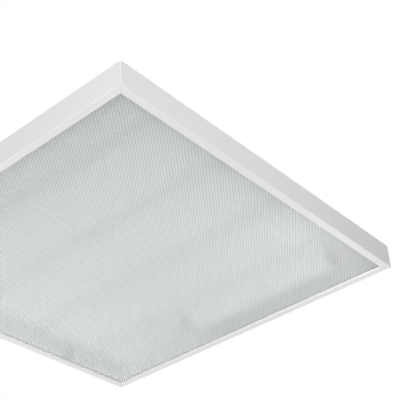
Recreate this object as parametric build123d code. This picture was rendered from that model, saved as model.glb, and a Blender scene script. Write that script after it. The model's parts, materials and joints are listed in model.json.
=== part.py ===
"""Recessed lay-in troffer light for a 600 mm ceiling grid.

Millimetres. +Z is up as the light hangs, X and Y run along the rim's sides. The origin is the
centre of the rim's underside, so the opening faces -Z and the wiring box is on top.
"""
import math
import os

from build123d import *

# ------------------------------------------------------------------ driving dimensions
# Tray and rim
panel_x = 595.0  # outside length of the rim along X
panel_y = 595.0
panel_height = 40.0  # underside of the rim to the top of the back
sheet = 0.6
bend_radius = 1.2  # outside radius of the folds
lip_width = 12.3
return_height = 3.4  # underside of the rim to the top of the upturned return

# Stiffening beads pressed up in the back
bead_length_inset = 97.5  # from the outside of the rim to a bead's end
bead_width = 12.0
bead_height = 1.5

# Removable end rail on the +Y side
rail_side_gap = 0.4  # to the side walls
rail_mitre_gap = 0.3  # to the tray's lips, measured along X
rail_top_gap = 0.2  # under the hem of the back
hem_depth = 2.0
rail_flange = 5.5
rail_screw_inset = 140.0  # from the outside of the side walls
rail_screw_height = 20.0  # above the underside of the rim
rail_screw_radius = 1.5
rail_screw_head_radius = 3.2
rail_screw_head_height = 1.8
rail_screw_clearance = 0.2  # in the rail
rail_screw_past = 2.0  # beyond the bracket
pocket_radius = 5.0
pocket_depth = 2.2
bracket_width = 20.0
bracket_foot = 14.0
bracket_thickness = 1.2
bracket_clearance = 0.7  # to the rail's flange
bracket_below_screw = 6.0
bracket_hole_clearance = 0.05

# Diffuser sheet and its guides
diffuser_thickness = 2.0
diffuser_inset = 5.5  # from the outside of the rim to the sheet's edge
guide_leg = 10.0
guide_reach = 8.0
guide_clearance = 0.6  # over the sheet
guide_end_inset = 20.0

# LED boards
strip_count = 4
strip_inset = 100.25  # from the outside of the rim to the outer boards' centre lines
board_width = 15.0
board_thickness = 1.0
board_end_inset = 21.5
led_pitch = 20.0
led_end_margin = 26.0
led_length = 3.5
led_width = 2.8
led_height = 0.8
led_window_radius = 1.1
led_window_depth = 0.15
connector_width = 12.0
connector_length = 8.0
connector_height = 4.0
connector_end_gap = 4.0  # from the board's end
connector_latch_radius = 0.7
connector_latch_depth = 1.0
connector_latch_setback = 4.8  # from the leads' side
pole_inner = 1.25  # lead positions on a connector, either side of its middle
pole_outer = 3.75
board_rivet_radius = 1.5
board_rivet_head_radius = 2.6
board_rivet_head_height = 0.8

# Direct-current leads
lead_diameter = 1.2
far_run_inset = 7.0  # from the outside of the rim to the runs of the red leads
near_run_inset = 9.5
clip_length = 5.0
clip_wall = 1.4
clip_bore_clearance = 0.05

# Driver
driver_inset = 55.0  # from the outside of the rim to the driver's centre line
driver_start_inset = 73.5  # from the outside of the rim at -Y to the driver's case
driver_length = 280.0
driver_width = 31.0
driver_height = 21.0
driver_wall = 0.8
driver_foot = 10.0
driver_corner = 1.2
driver_screw_radius = 1.6
driver_screw_head_radius = 3.2
driver_screw_head_height = 1.6
driver_board_drop = 3.0  # base plate to circuit board
driver_board_thickness = 1.6
driver_board_side_gap = 0.6
driver_board_end_gap = 1.0
standoff_width = 6.0
standoff_inset = 30.0  # from the ends of the case
driver_terminal_length = 16.0
driver_terminal_height = 12.0
driver_terminal_side_gap = 1.0
driver_slot_width = 2.0
driver_slot_length = 6.0
driver_slot_depth = 1.5
driver_pole = 2.5
transformer_length = 26.0
transformer_width = 22.0
transformer_height = 11.0
transformer_from_output = 110.0  # output end of the case to the transformer's middle
winding_margin = 4.0
winding_proud = 2.0
choke_radius = 5.5
choke_height = 11.0
choke_flange = 1.5
choke_from_input = 60.0
capacitor_radius = 5.0
capacitor_height = 11.5
capacitor_gap = 14.0  # between the middles of a pair
capacitors_from_output = 60.0
capacitors_from_input = 90.0

# Mains wiring
mains_diameter = 1.8
mains_pole = 5.0
grommet_gap = 30.0  # driver's case to the grommet's middle
grommet_clearance = 0.6  # round the outer leads
grommet_wall = 1.5
grommet_reach = 2.0  # flange beyond the hole
grommet_flange_height = 1.0
earth_clearance = 12.0  # terminal box to the earth screw
earth_screw_radius = 2.0
earth_head_radius = 4.0
earth_head_height = 2.4
ring_radius = 4.5
ring_thickness = 0.8
barrel_radius = 1.6
barrel_length = 6.0
earth_dip = 6.4  # underside of the back to the earth lead's low run
earth_rise_start = 28.0  # from the ring's barrel
earth_rise_end = 10.0
screw_tip = 2.5  # screw tips above the back

# Terminal box on the back
box_width = 60.0
box_height = 24.0
box_wall = 2.0
box_end_room = 3.5  # between the floor opening and the end wall
floor_opening_clearance = 0.5  # round the grommet
wiring_room = 8.0  # between the terminal block and the inlet clamp
lid_thickness = 2.0
lid_rim_depth = 2.0
lid_rim_gap = 0.4
lid_rim_wall = 1.6
hinge_offset = 3.0  # hinge axis outside the box's wall
hinge_drop = 1.0  # hinge axis below the box's top
hinge_barrel_radius = 2.0
hinge_pin_radius = 0.8
hinge_pin_clearance = 0.05
hinge_knuckle = 14.0
hinge_knuckle_gap = 0.3
hinge_middle = 30.0
lid_overhang = 0.5  # towards the hinge
lid_tab_reach = 4.0
lid_tab_width = 16.0
lid_tab_recess = 0.4
box_corner = 2.5
box_inner_corner = 1.0
inlet_radius = 5.0
inlet_height = 10.5  # back of the tray to the inlet's axis
box_rivet_inset = 6.0
box_rivet_radius = 1.6
box_rivet_head_radius = 3.0
box_rivet_head_height = 1.0
tail_height = 1.2  # set ends of the rivets under the back

# Terminal block
block_gap = 18.0  # grommet's middle to the block
block_length = 20.0
block_side_wall = 2.7  # outside the outer buttons' pockets
block_height = 14.0
entry_radius = 1.6
entry_height = 8.0  # block's foot to its lead entries
entry_depth = 4.0
button_width = 3.3
button_length = 4.3
button_clearance = 0.15
button_stand = 1.5  # height of a button above the block
button_depth = 3.5  # length of a button inside the block
button_travel = 1.2
button_floor_gap = 0.3  # left under a pressed button
contact_thickness = 0.8
contact_width = 3.4
contact_end_wall = 3.0
contact_floor = 3.0
contact_above_entry = 0.5

# Inlet clamp
clamp_setback = 10.0  # inside of the inlet wall to the clamp
clamp_depth = 6.0
clamp_span = 20.0  # between its screws
clamp_post_height = 12.0
clamp_saddle_height = 4.5
clamp_bar_height = 3.0
clamp_post_width = 6.0
clamp_bar_overhang = 4.0
clamp_screw_depth = 7.0
clamp_screw_room = 1.0  # left under the screws
clamp_screw_radius = 1.3
clamp_screw_head_radius = 2.6
clamp_screw_head_height = 1.8

# Swivel hold-down clips
swivel_edge_inset = 14.0  # pivots from the outside of the rim at +X and -X
swivel_end_inset = 117.5  # pivots from the outside of the rim at +Y and -Y
swivel_width = 10.0
swivel_reach = 28.0  # pivot to tip
swivel_thickness = 1.0
swivel_tab = 6.0
swivel_hole_clearance = 0.05
swivel_rivet_radius = 2.0
swivel_rivet_head_radius = 4.0
swivel_rivet_head_height = 1.2
swivel_running_gap = 0.05

# Rivet nuts for hanging wires
nut_inset_x = 47.5  # from the outside of the rim
nut_inset_y = 22.5
nut_bore = 2.0
nut_body = 3.0
nut_length = 9.0
nut_flange_radius = 4.5
nut_flange_height = 0.8
nut_bulge = 0.7  # set collar under the back
nut_bulge_height = 2.4

# Cross recess of the screw heads
recess_length = 4.2
recess_width = 0.8
recess_depth = 0.9

# ------------------------------------------------------------------ worked-out positions
half_x = panel_x / 2
half_y = panel_y / 2
back_low = panel_height - sheet
inner_x = half_x - sheet
inner_y = half_y - sheet
window_x = half_x - lip_width
window_y = half_y - lip_width
sheet_top = return_height + diffuser_thickness
board_low = back_low - board_thickness
board_half = half_y - board_end_inset
hem_low = panel_height - hem_depth
rail_top = hem_low - rail_top_gap
rail_half = inner_x - rail_side_gap
bracket_face = inner_y - rail_flange - bracket_clearance
strip_step = 2 * (half_x - strip_inset) / (strip_count - 1)
strip_xs = [strip_inset - half_x + i * strip_step for i in range(strip_count)]
led_count = int((2 * (board_half - led_end_margin)) // led_pitch) + 1
led_ys = [(i - (led_count - 1) / 2) * led_pitch for i in range(led_count)]
connector_y = connector_end_gap - board_half  # the -Y face of a board's connector
lead_z = board_low - connector_height / 2
driver_x = half_x - driver_inset
driver_y0 = driver_start_inset - half_y
driver_y1 = driver_y0 + driver_length
driver_low = back_low - driver_height
grommet_y = driver_y1 + grommet_gap
pole_xs = [driver_x + k * mains_pole for k in (-1, 0, 1)]
grommet_bore = mains_pole + mains_diameter / 2 + grommet_clearance
grommet_body = grommet_bore + grommet_wall
grommet_flange = grommet_body + grommet_reach
floor_opening_radius = grommet_flange + floor_opening_clearance
block_y0 = grommet_y + block_gap
block_y1 = block_y0 + block_length
block_half = mains_pole + button_width / 2 + button_clearance + block_side_wall
clamp_y = block_y1 + wiring_room + clamp_depth / 2
box_y0 = grommet_y - floor_opening_radius - box_end_room - box_wall
box_y1 = clamp_y + clamp_depth / 2 + clamp_setback + box_wall
box_x0 = driver_x - box_width / 2
box_x1 = driver_x + box_width / 2
box_top = panel_height + box_height
box_floor = panel_height + box_wall
entry_z = box_floor + entry_height
earth_y = box_y1 + earth_clearance


# ------------------------------------------------------------------ small helpers
def block(x0, x1, y0, y1, z0, z1):
    """A box between two corners."""
    size = (x1 - x0, y1 - y0, z1 - z0)
    return Pos((x0 + x1) / 2, (y0 + y1) / 2, (z0 + z1) / 2) * Box(*size)


def post(x, y, radius, z0, z1):
    """A round bar along Z."""
    return Pos(x, y, (z0 + z1) / 2) * Cylinder(radius, z1 - z0)


def bar_y(x, z, radius, y0, y1):
    """A round bar along Y."""
    return Pos(x, (y0 + y1) / 2, z) * Rot(90, 0, 0) * Cylinder(radius, y1 - y0)


def edges_near(part, test):
    """The edges whose middle passes the test."""
    return [edge for edge in part.edges() if test(edge.center())]


def same(a, b):
    return abs(a - b) < 0.01


def save(name, *solids):
    """Writes one node from all the solids it is made of."""
    found = [solid for shape in solids for solid in shape.solids()]
    whole = found[0] if len(found) == 1 else Compound(children=found)
    export_step(whole, f"parts/{name}.step")


def lead(points, diameter):
    """A tube along straight runs and tangent arcs, each as large as its two runs allow."""
    stops = [Vector(*point) for point in points]
    radii = []
    for before, here, after in zip(stops, stops[1:], stops[2:]):
        turn = math.radians((here - before).get_angle(after - here))
        shorter = min((here - before).length, (after - here).length)
        radii.append(0.45 * shorter / math.tan(turn / 2))
    path = FilletPolyline(*points, radius=radii)
    section = Plane(origin=path @ 0, z_dir=path % 0) * Circle(diameter / 2)
    tube = sweep(section, path=path)
    expected = math.pi * diameter**2 / 4 * path.length
    print(f"  lead {path.length:.0f} mm, radii", [round(r, 1) for r in radii],
          f"volume {tube.volume / expected:.4f} of section x length")
    return tube


def cross():
    """The cross recess of a screw head whose face is at the origin, facing +Z or -Z."""
    return (Box(recess_length, recess_width, 2 * recess_depth)
            + Box(recess_width, recess_length, 2 * recess_depth))


def dome(x, y, radius, z0, height):
    """A domed rivet head that rises from z0."""
    ball = (radius**2 + height**2) / (2 * height)
    cap = Pos(x, y, z0 + height - ball) * Sphere(ball)
    return cap & block(x - radius, x + radius, y - radius, y + radius, z0, z0 + height)


# ------------------------------------------------------------------ tray and end rail
def closed_shell():
    """The folded sheet all the way round, before the end rail is parted from it."""
    outer = block(-half_x, half_x, -half_y, half_y, 0, panel_height)
    outer = fillet(outer.edges(), bend_radius)
    inner = block(-inner_x, inner_x, -inner_y, inner_y, sheet, back_low)
    inner = fillet(inner.edges(), bend_radius - sheet)
    shell = outer - inner
    shell += block(-window_x - sheet, window_x + sheet, -window_y - sheet, window_y + sheet,
                   sheet / 2, return_height)
    shell -= block(-window_x, window_x, -window_y, window_y, -sheet, return_height + sheet)

    def behind_return(c):
        on_x = same(abs(c.X), window_x + sheet) and same(c.Y, 0)
        on_y = same(abs(c.Y), window_y + sheet) and same(c.X, 0)
        return same(c.Z, sheet) and (on_x or on_y)

    def under_return(c):
        on_x = same(abs(c.X), window_x) and same(c.Y, 0)
        on_y = same(abs(c.Y), window_y) and same(c.X, 0)
        return same(c.Z, 0) and (on_x or on_y)

    shell = fillet(edges_near(shell, behind_return), bend_radius - sheet)
    return fillet(edges_near(shell, under_return), bend_radius)


def mitred_zone(gap, half_length, top):
    """The +Y side of the rim, with 45 degree ends, up to a height."""
    depth = lip_width + bend_radius + sheet
    over = bend_radius
    outline = Polyline(
        (depth + gap - half_x, half_y - depth),
        (half_x - depth - gap, half_y - depth),
        (half_x - gap + over, half_y + over),
        (gap - half_x - over, half_y + over),
        close=True,
    )
    zone = extrude(Plane.XY.offset(-sheet) * make_face(outline), amount=top + sheet)
    return zone & block(-half_length, half_length, 0, half_y + over, -sheet, top)


def bead(x, z):
    """A pressed stiffening bead along Y, its foot at height z."""
    length = panel_y - 2 * bead_length_inset
    foot = Pos(x, 0, z) * SlotOverall(length, bead_width, rotation=90)
    return extrude(foot, amount=bead_height, taper=45)


def rail_screw_xs():
    return [rail_screw_inset - half_x, half_x - rail_screw_inset]


def nut_places():
    return [(sx * (half_x - nut_inset_x), sy * (half_y - nut_inset_y))
            for sx in (-1, 1) for sy in (-1, 1)]


def swivel_places():
    """Pivot x and y, and which way the clip points at rest and swings."""
    return [(sx * (half_x - swivel_edge_inset), sy * (half_y - swivel_end_inset), sx, sy)
            for sy in (-1, 1) for sx in (-1, 1)]


def board_rivet_ys():
    middle = led_count // 2
    pairs = ((0, 1), (middle - 1, middle), (led_count - 2, led_count - 1))
    return [(led_ys[a] + led_ys[b]) / 2 for a, b in pairs]


def driver_screw_ys():
    return [driver_y0 - driver_foot / 2, driver_y1 + driver_foot / 2]


def box_rivet_places():
    reach_x = box_width / 2 - box_wall - box_rivet_inset / 2
    return [(driver_x + sx * reach_x, y)
            for sx in (-1, 1)
            for y in (box_y0 + box_rivet_inset, box_y1 - box_rivet_inset)]


def make_tray(shell):
    tray = shell - mitred_zone(0, inner_x, hem_low)
    for x in [(a + b) / 2 for a, b in zip(strip_xs, strip_xs[1:])]:
        tray += bead(x, panel_height)
        tray -= bead(x, back_low)
    holes = [(x, y, board_rivet_radius) for x in strip_xs for y in board_rivet_ys()]
    holes += [(x, y, nut_body) for x, y in nut_places()]
    holes += [(x, y, swivel_rivet_radius) for x, y, _, _ in swivel_places()]
    holes += [(driver_x, y, driver_screw_radius) for y in driver_screw_ys()]
    holes += [(x, y, box_rivet_radius) for x, y in box_rivet_places()]
    holes += [(driver_x, grommet_y, grommet_body)]
    holes += [(pole_xs[2], earth_y, earth_screw_radius)]
    for x, y, radius in holes:
        tray -= post(x, y, radius, back_low - sheet, panel_height + sheet)
    save("housing_tray", tray)


def make_end_rail(shell):
    rail = shell & mitred_zone(rail_mitre_gap, rail_half, rail_top)
    rail += block(-rail_half, rail_half, inner_y - rail_flange, inner_y,
                  rail_top - sheet, rail_top)
    pocket_floor = half_y - pocket_depth
    for x in rail_screw_xs():
        z = rail_screw_height
        rail += bar_y(x, z, pocket_radius + sheet, pocket_floor - sheet, half_y - sheet / 2)
        rail -= bar_y(x, z, pocket_radius, pocket_floor, half_y + sheet)
        rail -= bar_y(x, z, rail_screw_radius + rail_screw_clearance, pocket_floor - 2 * sheet,
                      half_y)
    save("end_rail", rail)

    screws, brackets = [], []
    leg_back = bracket_face - bracket_thickness
    for x in rail_screw_xs():
        z = rail_screw_height
        head = bar_y(x, z, rail_screw_head_radius, pocket_floor,
                     pocket_floor + rail_screw_head_height)
        head -= Pos(x, pocket_floor + rail_screw_head_height, z) * Rot(90, 0, 0) * cross()
        screws.append(head + bar_y(x, z, rail_screw_radius, leg_back - rail_screw_past,
                                   pocket_floor))
        foot = block(x - bracket_width / 2, x + bracket_width / 2,
                     bracket_face - bracket_foot, bracket_face,
                     back_low - bracket_thickness, back_low)
        leg = block(x - bracket_width / 2, x + bracket_width / 2, leg_back, bracket_face,
                    rail_screw_height - bracket_below_screw, back_low)
        hole = bar_y(x, z, rail_screw_radius + bracket_hole_clearance, leg_back - 1,
                     bracket_face + 1)
        brackets.append(foot + leg - hole)
    save("end_rail_screws", *screws)
    save("rail_brackets", *brackets)


def make_diffuser():
    edge_x = half_x - diffuser_inset
    edge_y = half_y - diffuser_inset
    save("diffuser", block(-edge_x, edge_x, -edge_y, edge_y, return_height, sheet_top))

    guide_z = sheet_top + guide_clearance
    end = half_y - guide_end_inset
    guides = []
    for side in (-1, 1):
        wall = side * inner_x
        upright = [wall, wall - side * sheet]
        flat = [wall, wall - side * guide_reach]
        guides.append(
            block(min(upright), max(upright), -end, end, guide_z, guide_z + guide_leg)
            + block(min(flat), max(flat), -end, end, guide_z, guide_z + sheet)
        )
    save("diffuser_guides", *guides)


# ------------------------------------------------------------------ LED boards and leads
def make_boards():
    rivets, connectors = [], []
    for number, x in enumerate(strip_xs, start=1):
        board = block(x - board_width / 2, x + board_width / 2, -board_half, board_half,
                      board_low, back_low)
        for y in board_rivet_ys():
            board -= post(x, y, board_rivet_radius, board_low - 1, back_low + 1)
            rivets.append(
                post(x, y, board_rivet_head_radius, board_low - board_rivet_head_height,
                     board_low)
                + post(x, y, board_rivet_radius, board_low, panel_height)
                + dome(x, y, board_rivet_head_radius, panel_height, board_rivet_head_height)
            )
        save(f"led_board_{number}", board)

        packages = []
        for y in led_ys:
            package = block(x - led_width / 2, x + led_width / 2, y - led_length / 2,
                            y + led_length / 2, board_low - led_height, board_low)
            window_low = board_low - led_height
            package -= post(x, y, led_window_radius, window_low - 1,
                            window_low + led_window_depth)
            packages.append(package)
        save(f"led_packages_{number}", *packages)

        body = block(x - connector_width / 2, x + connector_width / 2, connector_y,
                     connector_y + connector_length, board_low - connector_height, board_low)
        for offset in (-pole_outer, -pole_inner, pole_inner, pole_outer):
            face = board_low - connector_height
            body -= post(x + offset, connector_y + connector_latch_setback,
                         connector_latch_radius, face - 1, face + connector_latch_depth)
        connectors.append(body)
    save("board_rivets", *rivets)
    save("led_connectors", *connectors)


def make_board_leads():
    far_y = far_run_inset - half_y
    near_y = near_run_inset - half_y
    reds, blacks, clips = [], [], []
    for x_from, x_to in zip(strip_xs[1:], strip_xs):
        reds.append(lead([
            (x_from - pole_inner, connector_y, lead_z),
            (x_from - pole_inner, far_y, lead_z),
            (x_to + pole_inner, far_y, lead_z),
            (x_to + pole_inner, connector_y, lead_z),
        ], lead_diameter))
        blacks.append(lead([
            (x_from - pole_outer, connector_y, lead_z),
            (x_from - pole_outer, near_y, lead_z),
            (x_to + pole_outer, near_y, lead_z),
            (x_to + pole_outer, connector_y, lead_z),
        ], lead_diameter))
        middle = (x_from + x_to) / 2
        bore = lead_diameter / 2 + clip_bore_clearance
        clip = block(middle - clip_length / 2, middle + clip_length / 2,
                     far_y - bore - clip_wall, near_y + bore + clip_wall,
                     lead_z - bore - clip_wall, back_low)
        for y in (far_y, near_y):
            clip -= Pos(middle, y, lead_z) * Rot(0, 90, 0) * Cylinder(bore, 2 * clip_length)
        clips.append(clip)
    output_z = driver_low + driver_height / 2
    last = strip_xs[-1]
    reds.append(lead([
        (driver_x + driver_pole, driver_y0, output_z),
        (driver_x + driver_pole, far_y, output_z),
        (last + pole_inner, far_y, lead_z),
        (last + pole_inner, connector_y, lead_z),
    ], lead_diameter))
    blacks.append(lead([
        (driver_x - driver_pole, driver_y0, output_z),
        (driver_x - driver_pole, near_y, output_z),
        (last + pole_outer, near_y, lead_z),
        (last + pole_outer, connector_y, lead_z),
    ], lead_diameter))
    save("red_leads", *reds)
    save("black_leads", *blacks)
    save("wire_clips", *clips)


# ------------------------------------------------------------------ driver
def make_driver():
    x0 = driver_x - driver_width / 2
    x1 = driver_x + driver_width / 2
    base = block(x0, x1, driver_y0 - driver_foot, driver_y1 + driver_foot,
                 back_low - driver_wall, back_low)
    for y in driver_screw_ys():
        base -= post(driver_x, y, driver_screw_radius, back_low - 2, back_low + 1)
    save("driver_base", base)

    base_low = back_low - driver_wall
    case = block(x0, x1, driver_y0, driver_y1, driver_low, base_low)
    case = fillet(edges_near(case, lambda c: same(c.Z, driver_low) and same(
        c.Y, (driver_y0 + driver_y1) / 2)), driver_corner)
    inside = block(x0 + driver_wall, x1 - driver_wall, driver_y0 - 1, driver_y1 + 1,
                   driver_low + driver_wall, base_low)
    save("driver_cover", case - inside)

    board_high = base_low - driver_board_drop
    board_under = board_high - driver_board_thickness
    side = driver_wall + driver_board_side_gap
    board = block(x0 + side, x1 - side, driver_y0 + driver_board_end_gap,
                  driver_y1 - driver_board_end_gap, board_under, board_high)
    for y in (driver_y0 + standoff_inset, driver_y1 - standoff_inset):
        board += block(driver_x - standoff_width / 2, driver_x + standoff_width / 2,
                       y - standoff_width / 2, y + standoff_width / 2, board_high, base_low)
    save("driver_circuit_board", board)

    def terminal(y0, y1, offsets):
        wide = driver_width / 2 - side - driver_terminal_side_gap
        low = board_under - driver_terminal_height
        body = block(driver_x - wide, driver_x + wide, y0, y1, low, board_under)
        for offset in offsets:
            slot = Box(driver_slot_width, driver_slot_length, 2 * driver_slot_depth)
            body -= Pos(driver_x + offset, (y0 + y1) / 2, low) * slot
        return body

    save("driver_output_terminal",
         terminal(driver_y0, driver_y0 + driver_terminal_length, (-driver_pole, driver_pole)))
    save("driver_input_terminal",
         terminal(driver_y1 - driver_terminal_length, driver_y1, (-mains_pole, 0)))

    transformer_y = driver_y0 + transformer_from_output
    core = block(driver_x - transformer_width / 2, driver_x + transformer_width / 2,
                 transformer_y - transformer_length / 2, transformer_y + transformer_length / 2,
                 board_under - transformer_height, board_under)
    wound = transformer_width / 2 - winding_margin
    reach = transformer_length / 2 + winding_proud
    tape = block(driver_x - wound, driver_x + wound, transformer_y - reach,
                 transformer_y + reach, board_under - transformer_height + 1, board_under)
    save("driver_transformer", core + tape)

    choke_y = driver_y1 - choke_from_input
    choke_low = board_under - choke_height
    choke = post(driver_x, choke_y, choke_radius, choke_low, board_under)
    for z in (choke_low, board_under - choke_flange):
        choke += post(driver_x, choke_y, choke_radius + choke_flange, z, z + choke_flange)
    save("driver_choke", choke)

    cans = []
    first = driver_y0 + capacitors_from_output
    last = driver_y1 - capacitors_from_input
    for y in (first, first + capacitor_gap, last, last - capacitor_gap):
        can = post(driver_x, y, capacitor_radius, board_under - capacitor_height, board_under)
        cans.append(fillet(can.edges().sort_by(Axis.Z)[0], capacitor_radius / 8))
    save("driver_capacitors", *cans)

    screws = []
    for y in driver_screw_ys():
        head = post(driver_x, y, driver_screw_head_radius,
                    base_low - driver_screw_head_height, base_low)
        head = fillet(head.edges().sort_by(Axis.Z)[0], driver_screw_head_height / 2)
        screws.append(head + post(driver_x, y, driver_screw_radius, base_low,
                                  panel_height + screw_tip))
    save("driver_screws", *screws)


# ------------------------------------------------------------------ mains wiring
def make_mains_wiring():
    body = post(driver_x, grommet_y, grommet_body, back_low, panel_height)
    low = back_low - grommet_flange_height
    high = panel_height + grommet_flange_height
    body += post(driver_x, grommet_y, grommet_flange, low, back_low)
    body += post(driver_x, grommet_y, grommet_flange, panel_height, high)
    body -= post(driver_x, grommet_y, grommet_bore, low - 1, high + 1)
    save("panel_grommet", body)

    input_z = driver_low + driver_height / 2
    for name, x in (("line_lead", pole_xs[0]), ("neutral_lead", pole_xs[1])):
        save(name, lead([
            (x, block_y0, entry_z),
            (x, grommet_y, entry_z),
            (x, grommet_y, input_z),
            (x, driver_y1, input_z),
        ], mains_diameter))

    x = pole_xs[2]
    ring_y = earth_y
    barrel_z = back_low - barrel_radius
    barrel_y = ring_y - ring_radius - barrel_length
    dip = back_low - earth_dip
    save("earth_lead", lead([
        (x, block_y0, entry_z),
        (x, grommet_y, entry_z),
        (x, grommet_y, dip),
        (x, barrel_y - earth_rise_start, dip),
        (x, barrel_y - earth_rise_end, barrel_z),
        (x, barrel_y, barrel_z),
    ], mains_diameter))

    ring = post(x, ring_y, ring_radius, back_low - ring_thickness, back_low)
    ring += bar_y(x, barrel_z, barrel_radius, barrel_y, barrel_y + barrel_length)
    ring += block(x - barrel_radius, x + barrel_radius, barrel_y + barrel_length, ring_y,
                  back_low - ring_thickness, back_low)
    ring -= post(x, ring_y, earth_screw_radius, back_low - 2, back_low + 1)
    save("earth_ring_terminal", ring)

    head_high = back_low - ring_thickness
    screw = post(x, ring_y, earth_head_radius, head_high - earth_head_height, head_high)
    screw = fillet(screw.edges().sort_by(Axis.Z)[0], earth_head_height / 3)
    screw += post(x, ring_y, earth_screw_radius, head_high, panel_height + screw_tip)
    save("earth_screw", screw)


# ------------------------------------------------------------------ terminal box
def clamp_places():
    return [driver_x - clamp_span / 2, driver_x + clamp_span / 2]


def make_terminal_box():
    base = block(box_x0, box_x1, box_y0, box_y1, panel_height, box_top)
    base = fillet(edges_near(base, lambda c: same(c.Z, panel_height + box_height / 2)),
                  box_corner)
    inside = block(box_x0 + box_wall, box_x1 - box_wall, box_y0 + box_wall,
                   box_y1 - box_wall, box_floor, box_top + 1)
    base -= fillet(inside.edges().filter_by(Axis.Z), box_inner_corner)
    base -= post(driver_x, grommet_y, floor_opening_radius, panel_height - 1, box_floor + 1)
    base -= bar_y(driver_x, panel_height + inlet_height, inlet_radius, box_y1 - 2 * box_wall,
                  box_y1 + 1)
    for x, y in box_rivet_places():
        base -= post(x, y, box_rivet_radius, panel_height - 1, box_floor + 1)
    base += block(clamp_places()[0], clamp_places()[1], clamp_y - clamp_depth / 2,
                  clamp_y + clamp_depth / 2, box_floor, box_floor + clamp_saddle_height)
    post_top = box_floor + clamp_post_height
    for x in clamp_places():
        base += block(x - clamp_post_width / 2, x + clamp_post_width / 2,
                      clamp_y - clamp_depth / 2, clamp_y + clamp_depth / 2, box_floor, post_top)
        base -= post(x, clamp_y, clamp_screw_radius,
                     post_top - clamp_screw_depth - clamp_screw_room, post_top + 1)

    hinge_x = box_x0 - hinge_offset
    hinge_z = box_top - hinge_drop
    middle = (box_y0 + box_y1) / 2
    barrel = bar_y(hinge_x, hinge_z, hinge_barrel_radius, middle - hinge_middle / 2,
                   middle + hinge_middle / 2)
    web = block(hinge_x, box_x0 + box_wall / 2, middle - hinge_middle / 2,
                middle + hinge_middle / 2, hinge_z - hinge_barrel_radius,
                hinge_z - hinge_knuckle_gap)
    base += barrel + web
    base -= bar_y(hinge_x, hinge_z, hinge_pin_radius, box_y0, box_y1)
    save("terminal_box_base", base)

    lid = block(box_x0 - lid_overhang, box_x1, box_y0, box_y1, box_top,
                box_top + lid_thickness)
    lid = fillet(edges_near(lid, lambda c: same(c.Z, box_top + lid_thickness)),
                 lid_tab_recess)
    rim_out = box_wall + lid_rim_gap
    rim_in = rim_out + lid_rim_wall
    lid += (block(box_x0 + rim_out, box_x1 - rim_out, box_y0 + rim_out, box_y1 - rim_out,
                  box_top - lid_rim_depth, box_top)
            - block(box_x0 + rim_in, box_x1 - rim_in, box_y0 + rim_in, box_y1 - rim_in,
                    box_top - lid_rim_depth - 1, box_top))
    lid += block(box_x1, box_x1 + lid_tab_reach, middle - lid_tab_width / 2,
                 middle + lid_tab_width / 2, box_top, box_top + lid_thickness - lid_tab_recess)
    for side in (-1, 1):
        start = middle + side * (hinge_middle / 2 + hinge_knuckle_gap)
        end = start + side * hinge_knuckle
        low, high = min(start, end), max(start, end)
        lid += bar_y(hinge_x, hinge_z, hinge_barrel_radius, low, high)
        lid += block(hinge_x, box_x0 + box_wall / 2, low, high, box_top,
                     hinge_z + hinge_barrel_radius)
    lid -= bar_y(hinge_x, hinge_z, hinge_pin_radius + hinge_pin_clearance, box_y0 - 1,
                 box_y1 + 1)
    save("terminal_box_lid", lid)
    reach = hinge_middle / 2 + hinge_knuckle_gap + hinge_knuckle
    save("lid_hinge_pin", bar_y(hinge_x, hinge_z, hinge_pin_radius, middle - reach,
                                middle + reach))

    rivets = []
    for x, y in box_rivet_places():
        rivets.append(
            dome(x, y, box_rivet_head_radius, box_floor, box_rivet_head_height)
            + post(x, y, box_rivet_radius, back_low, box_floor)
            + post(x, y, box_rivet_head_radius, back_low - tail_height, back_low)
        )
    save("terminal_box_rivets", *rivets)

    clamp_z = box_floor + clamp_post_height
    bar = block(clamp_places()[0] - clamp_bar_overhang, clamp_places()[1] + clamp_bar_overhang,
                clamp_y - clamp_depth / 2, clamp_y + clamp_depth / 2, clamp_z,
                clamp_z + clamp_bar_height)
    bar = fillet(bar.edges().filter_by(Axis.Z), clamp_depth / 4)
    screws = []
    for x in clamp_places():
        bar -= post(x, clamp_y, clamp_screw_radius, clamp_z - 1, clamp_z + clamp_bar_height + 1)
        top = clamp_z + clamp_bar_height
        head = post(x, clamp_y, clamp_screw_head_radius, top, top + clamp_screw_head_height)
        head -= Pos(x, clamp_y, top + clamp_screw_head_height) * cross()
        screws.append(head + post(x, clamp_y, clamp_screw_radius,
                                  clamp_z - clamp_screw_depth, top))
    save("inlet_clamp", bar)
    save("clamp_screws", *screws)


def make_terminal_block():
    y0, y1 = block_y0, block_y1
    low, high = box_floor, box_floor + block_height
    body = block(driver_x - block_half, driver_x + block_half, y0, y1, low, high)
    button_y = (y0 + y1) / 2
    contact_low = low + contact_floor
    half_contact = contact_width / 2
    pocket_low = high - button_depth - button_travel - button_floor_gap
    contacts = []
    for number, x in enumerate(pole_xs, start=1):
        half_w = button_width / 2 + button_clearance
        half_l = button_length / 2 + button_clearance
        body -= block(x - half_w, x + half_w, button_y - half_l, button_y + half_l,
                      pocket_low, high + 1)
        start, end = y0 + contact_end_wall, y1 - contact_end_wall
        body -= block(x - half_contact, x + half_contact, start, end, contact_low, pocket_low)
        body -= bar_y(x, entry_z, entry_radius, y1 - entry_depth, y1 + 1)
        contacts.append(
            block(x - half_contact, x + half_contact, start, end, contact_low,
                  contact_low + contact_thickness)
            + block(x - half_contact, x + half_contact, start, start + contact_thickness,
                    contact_low, entry_z + contact_above_entry)
        )
        save(f"release_button_{number}", block(
            x - button_width / 2, x + button_width / 2, button_y - button_length / 2,
            button_y + button_length / 2, high - button_depth, high + button_stand))
    save("terminal_block", body)
    save("terminal_contacts", *contacts)


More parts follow.
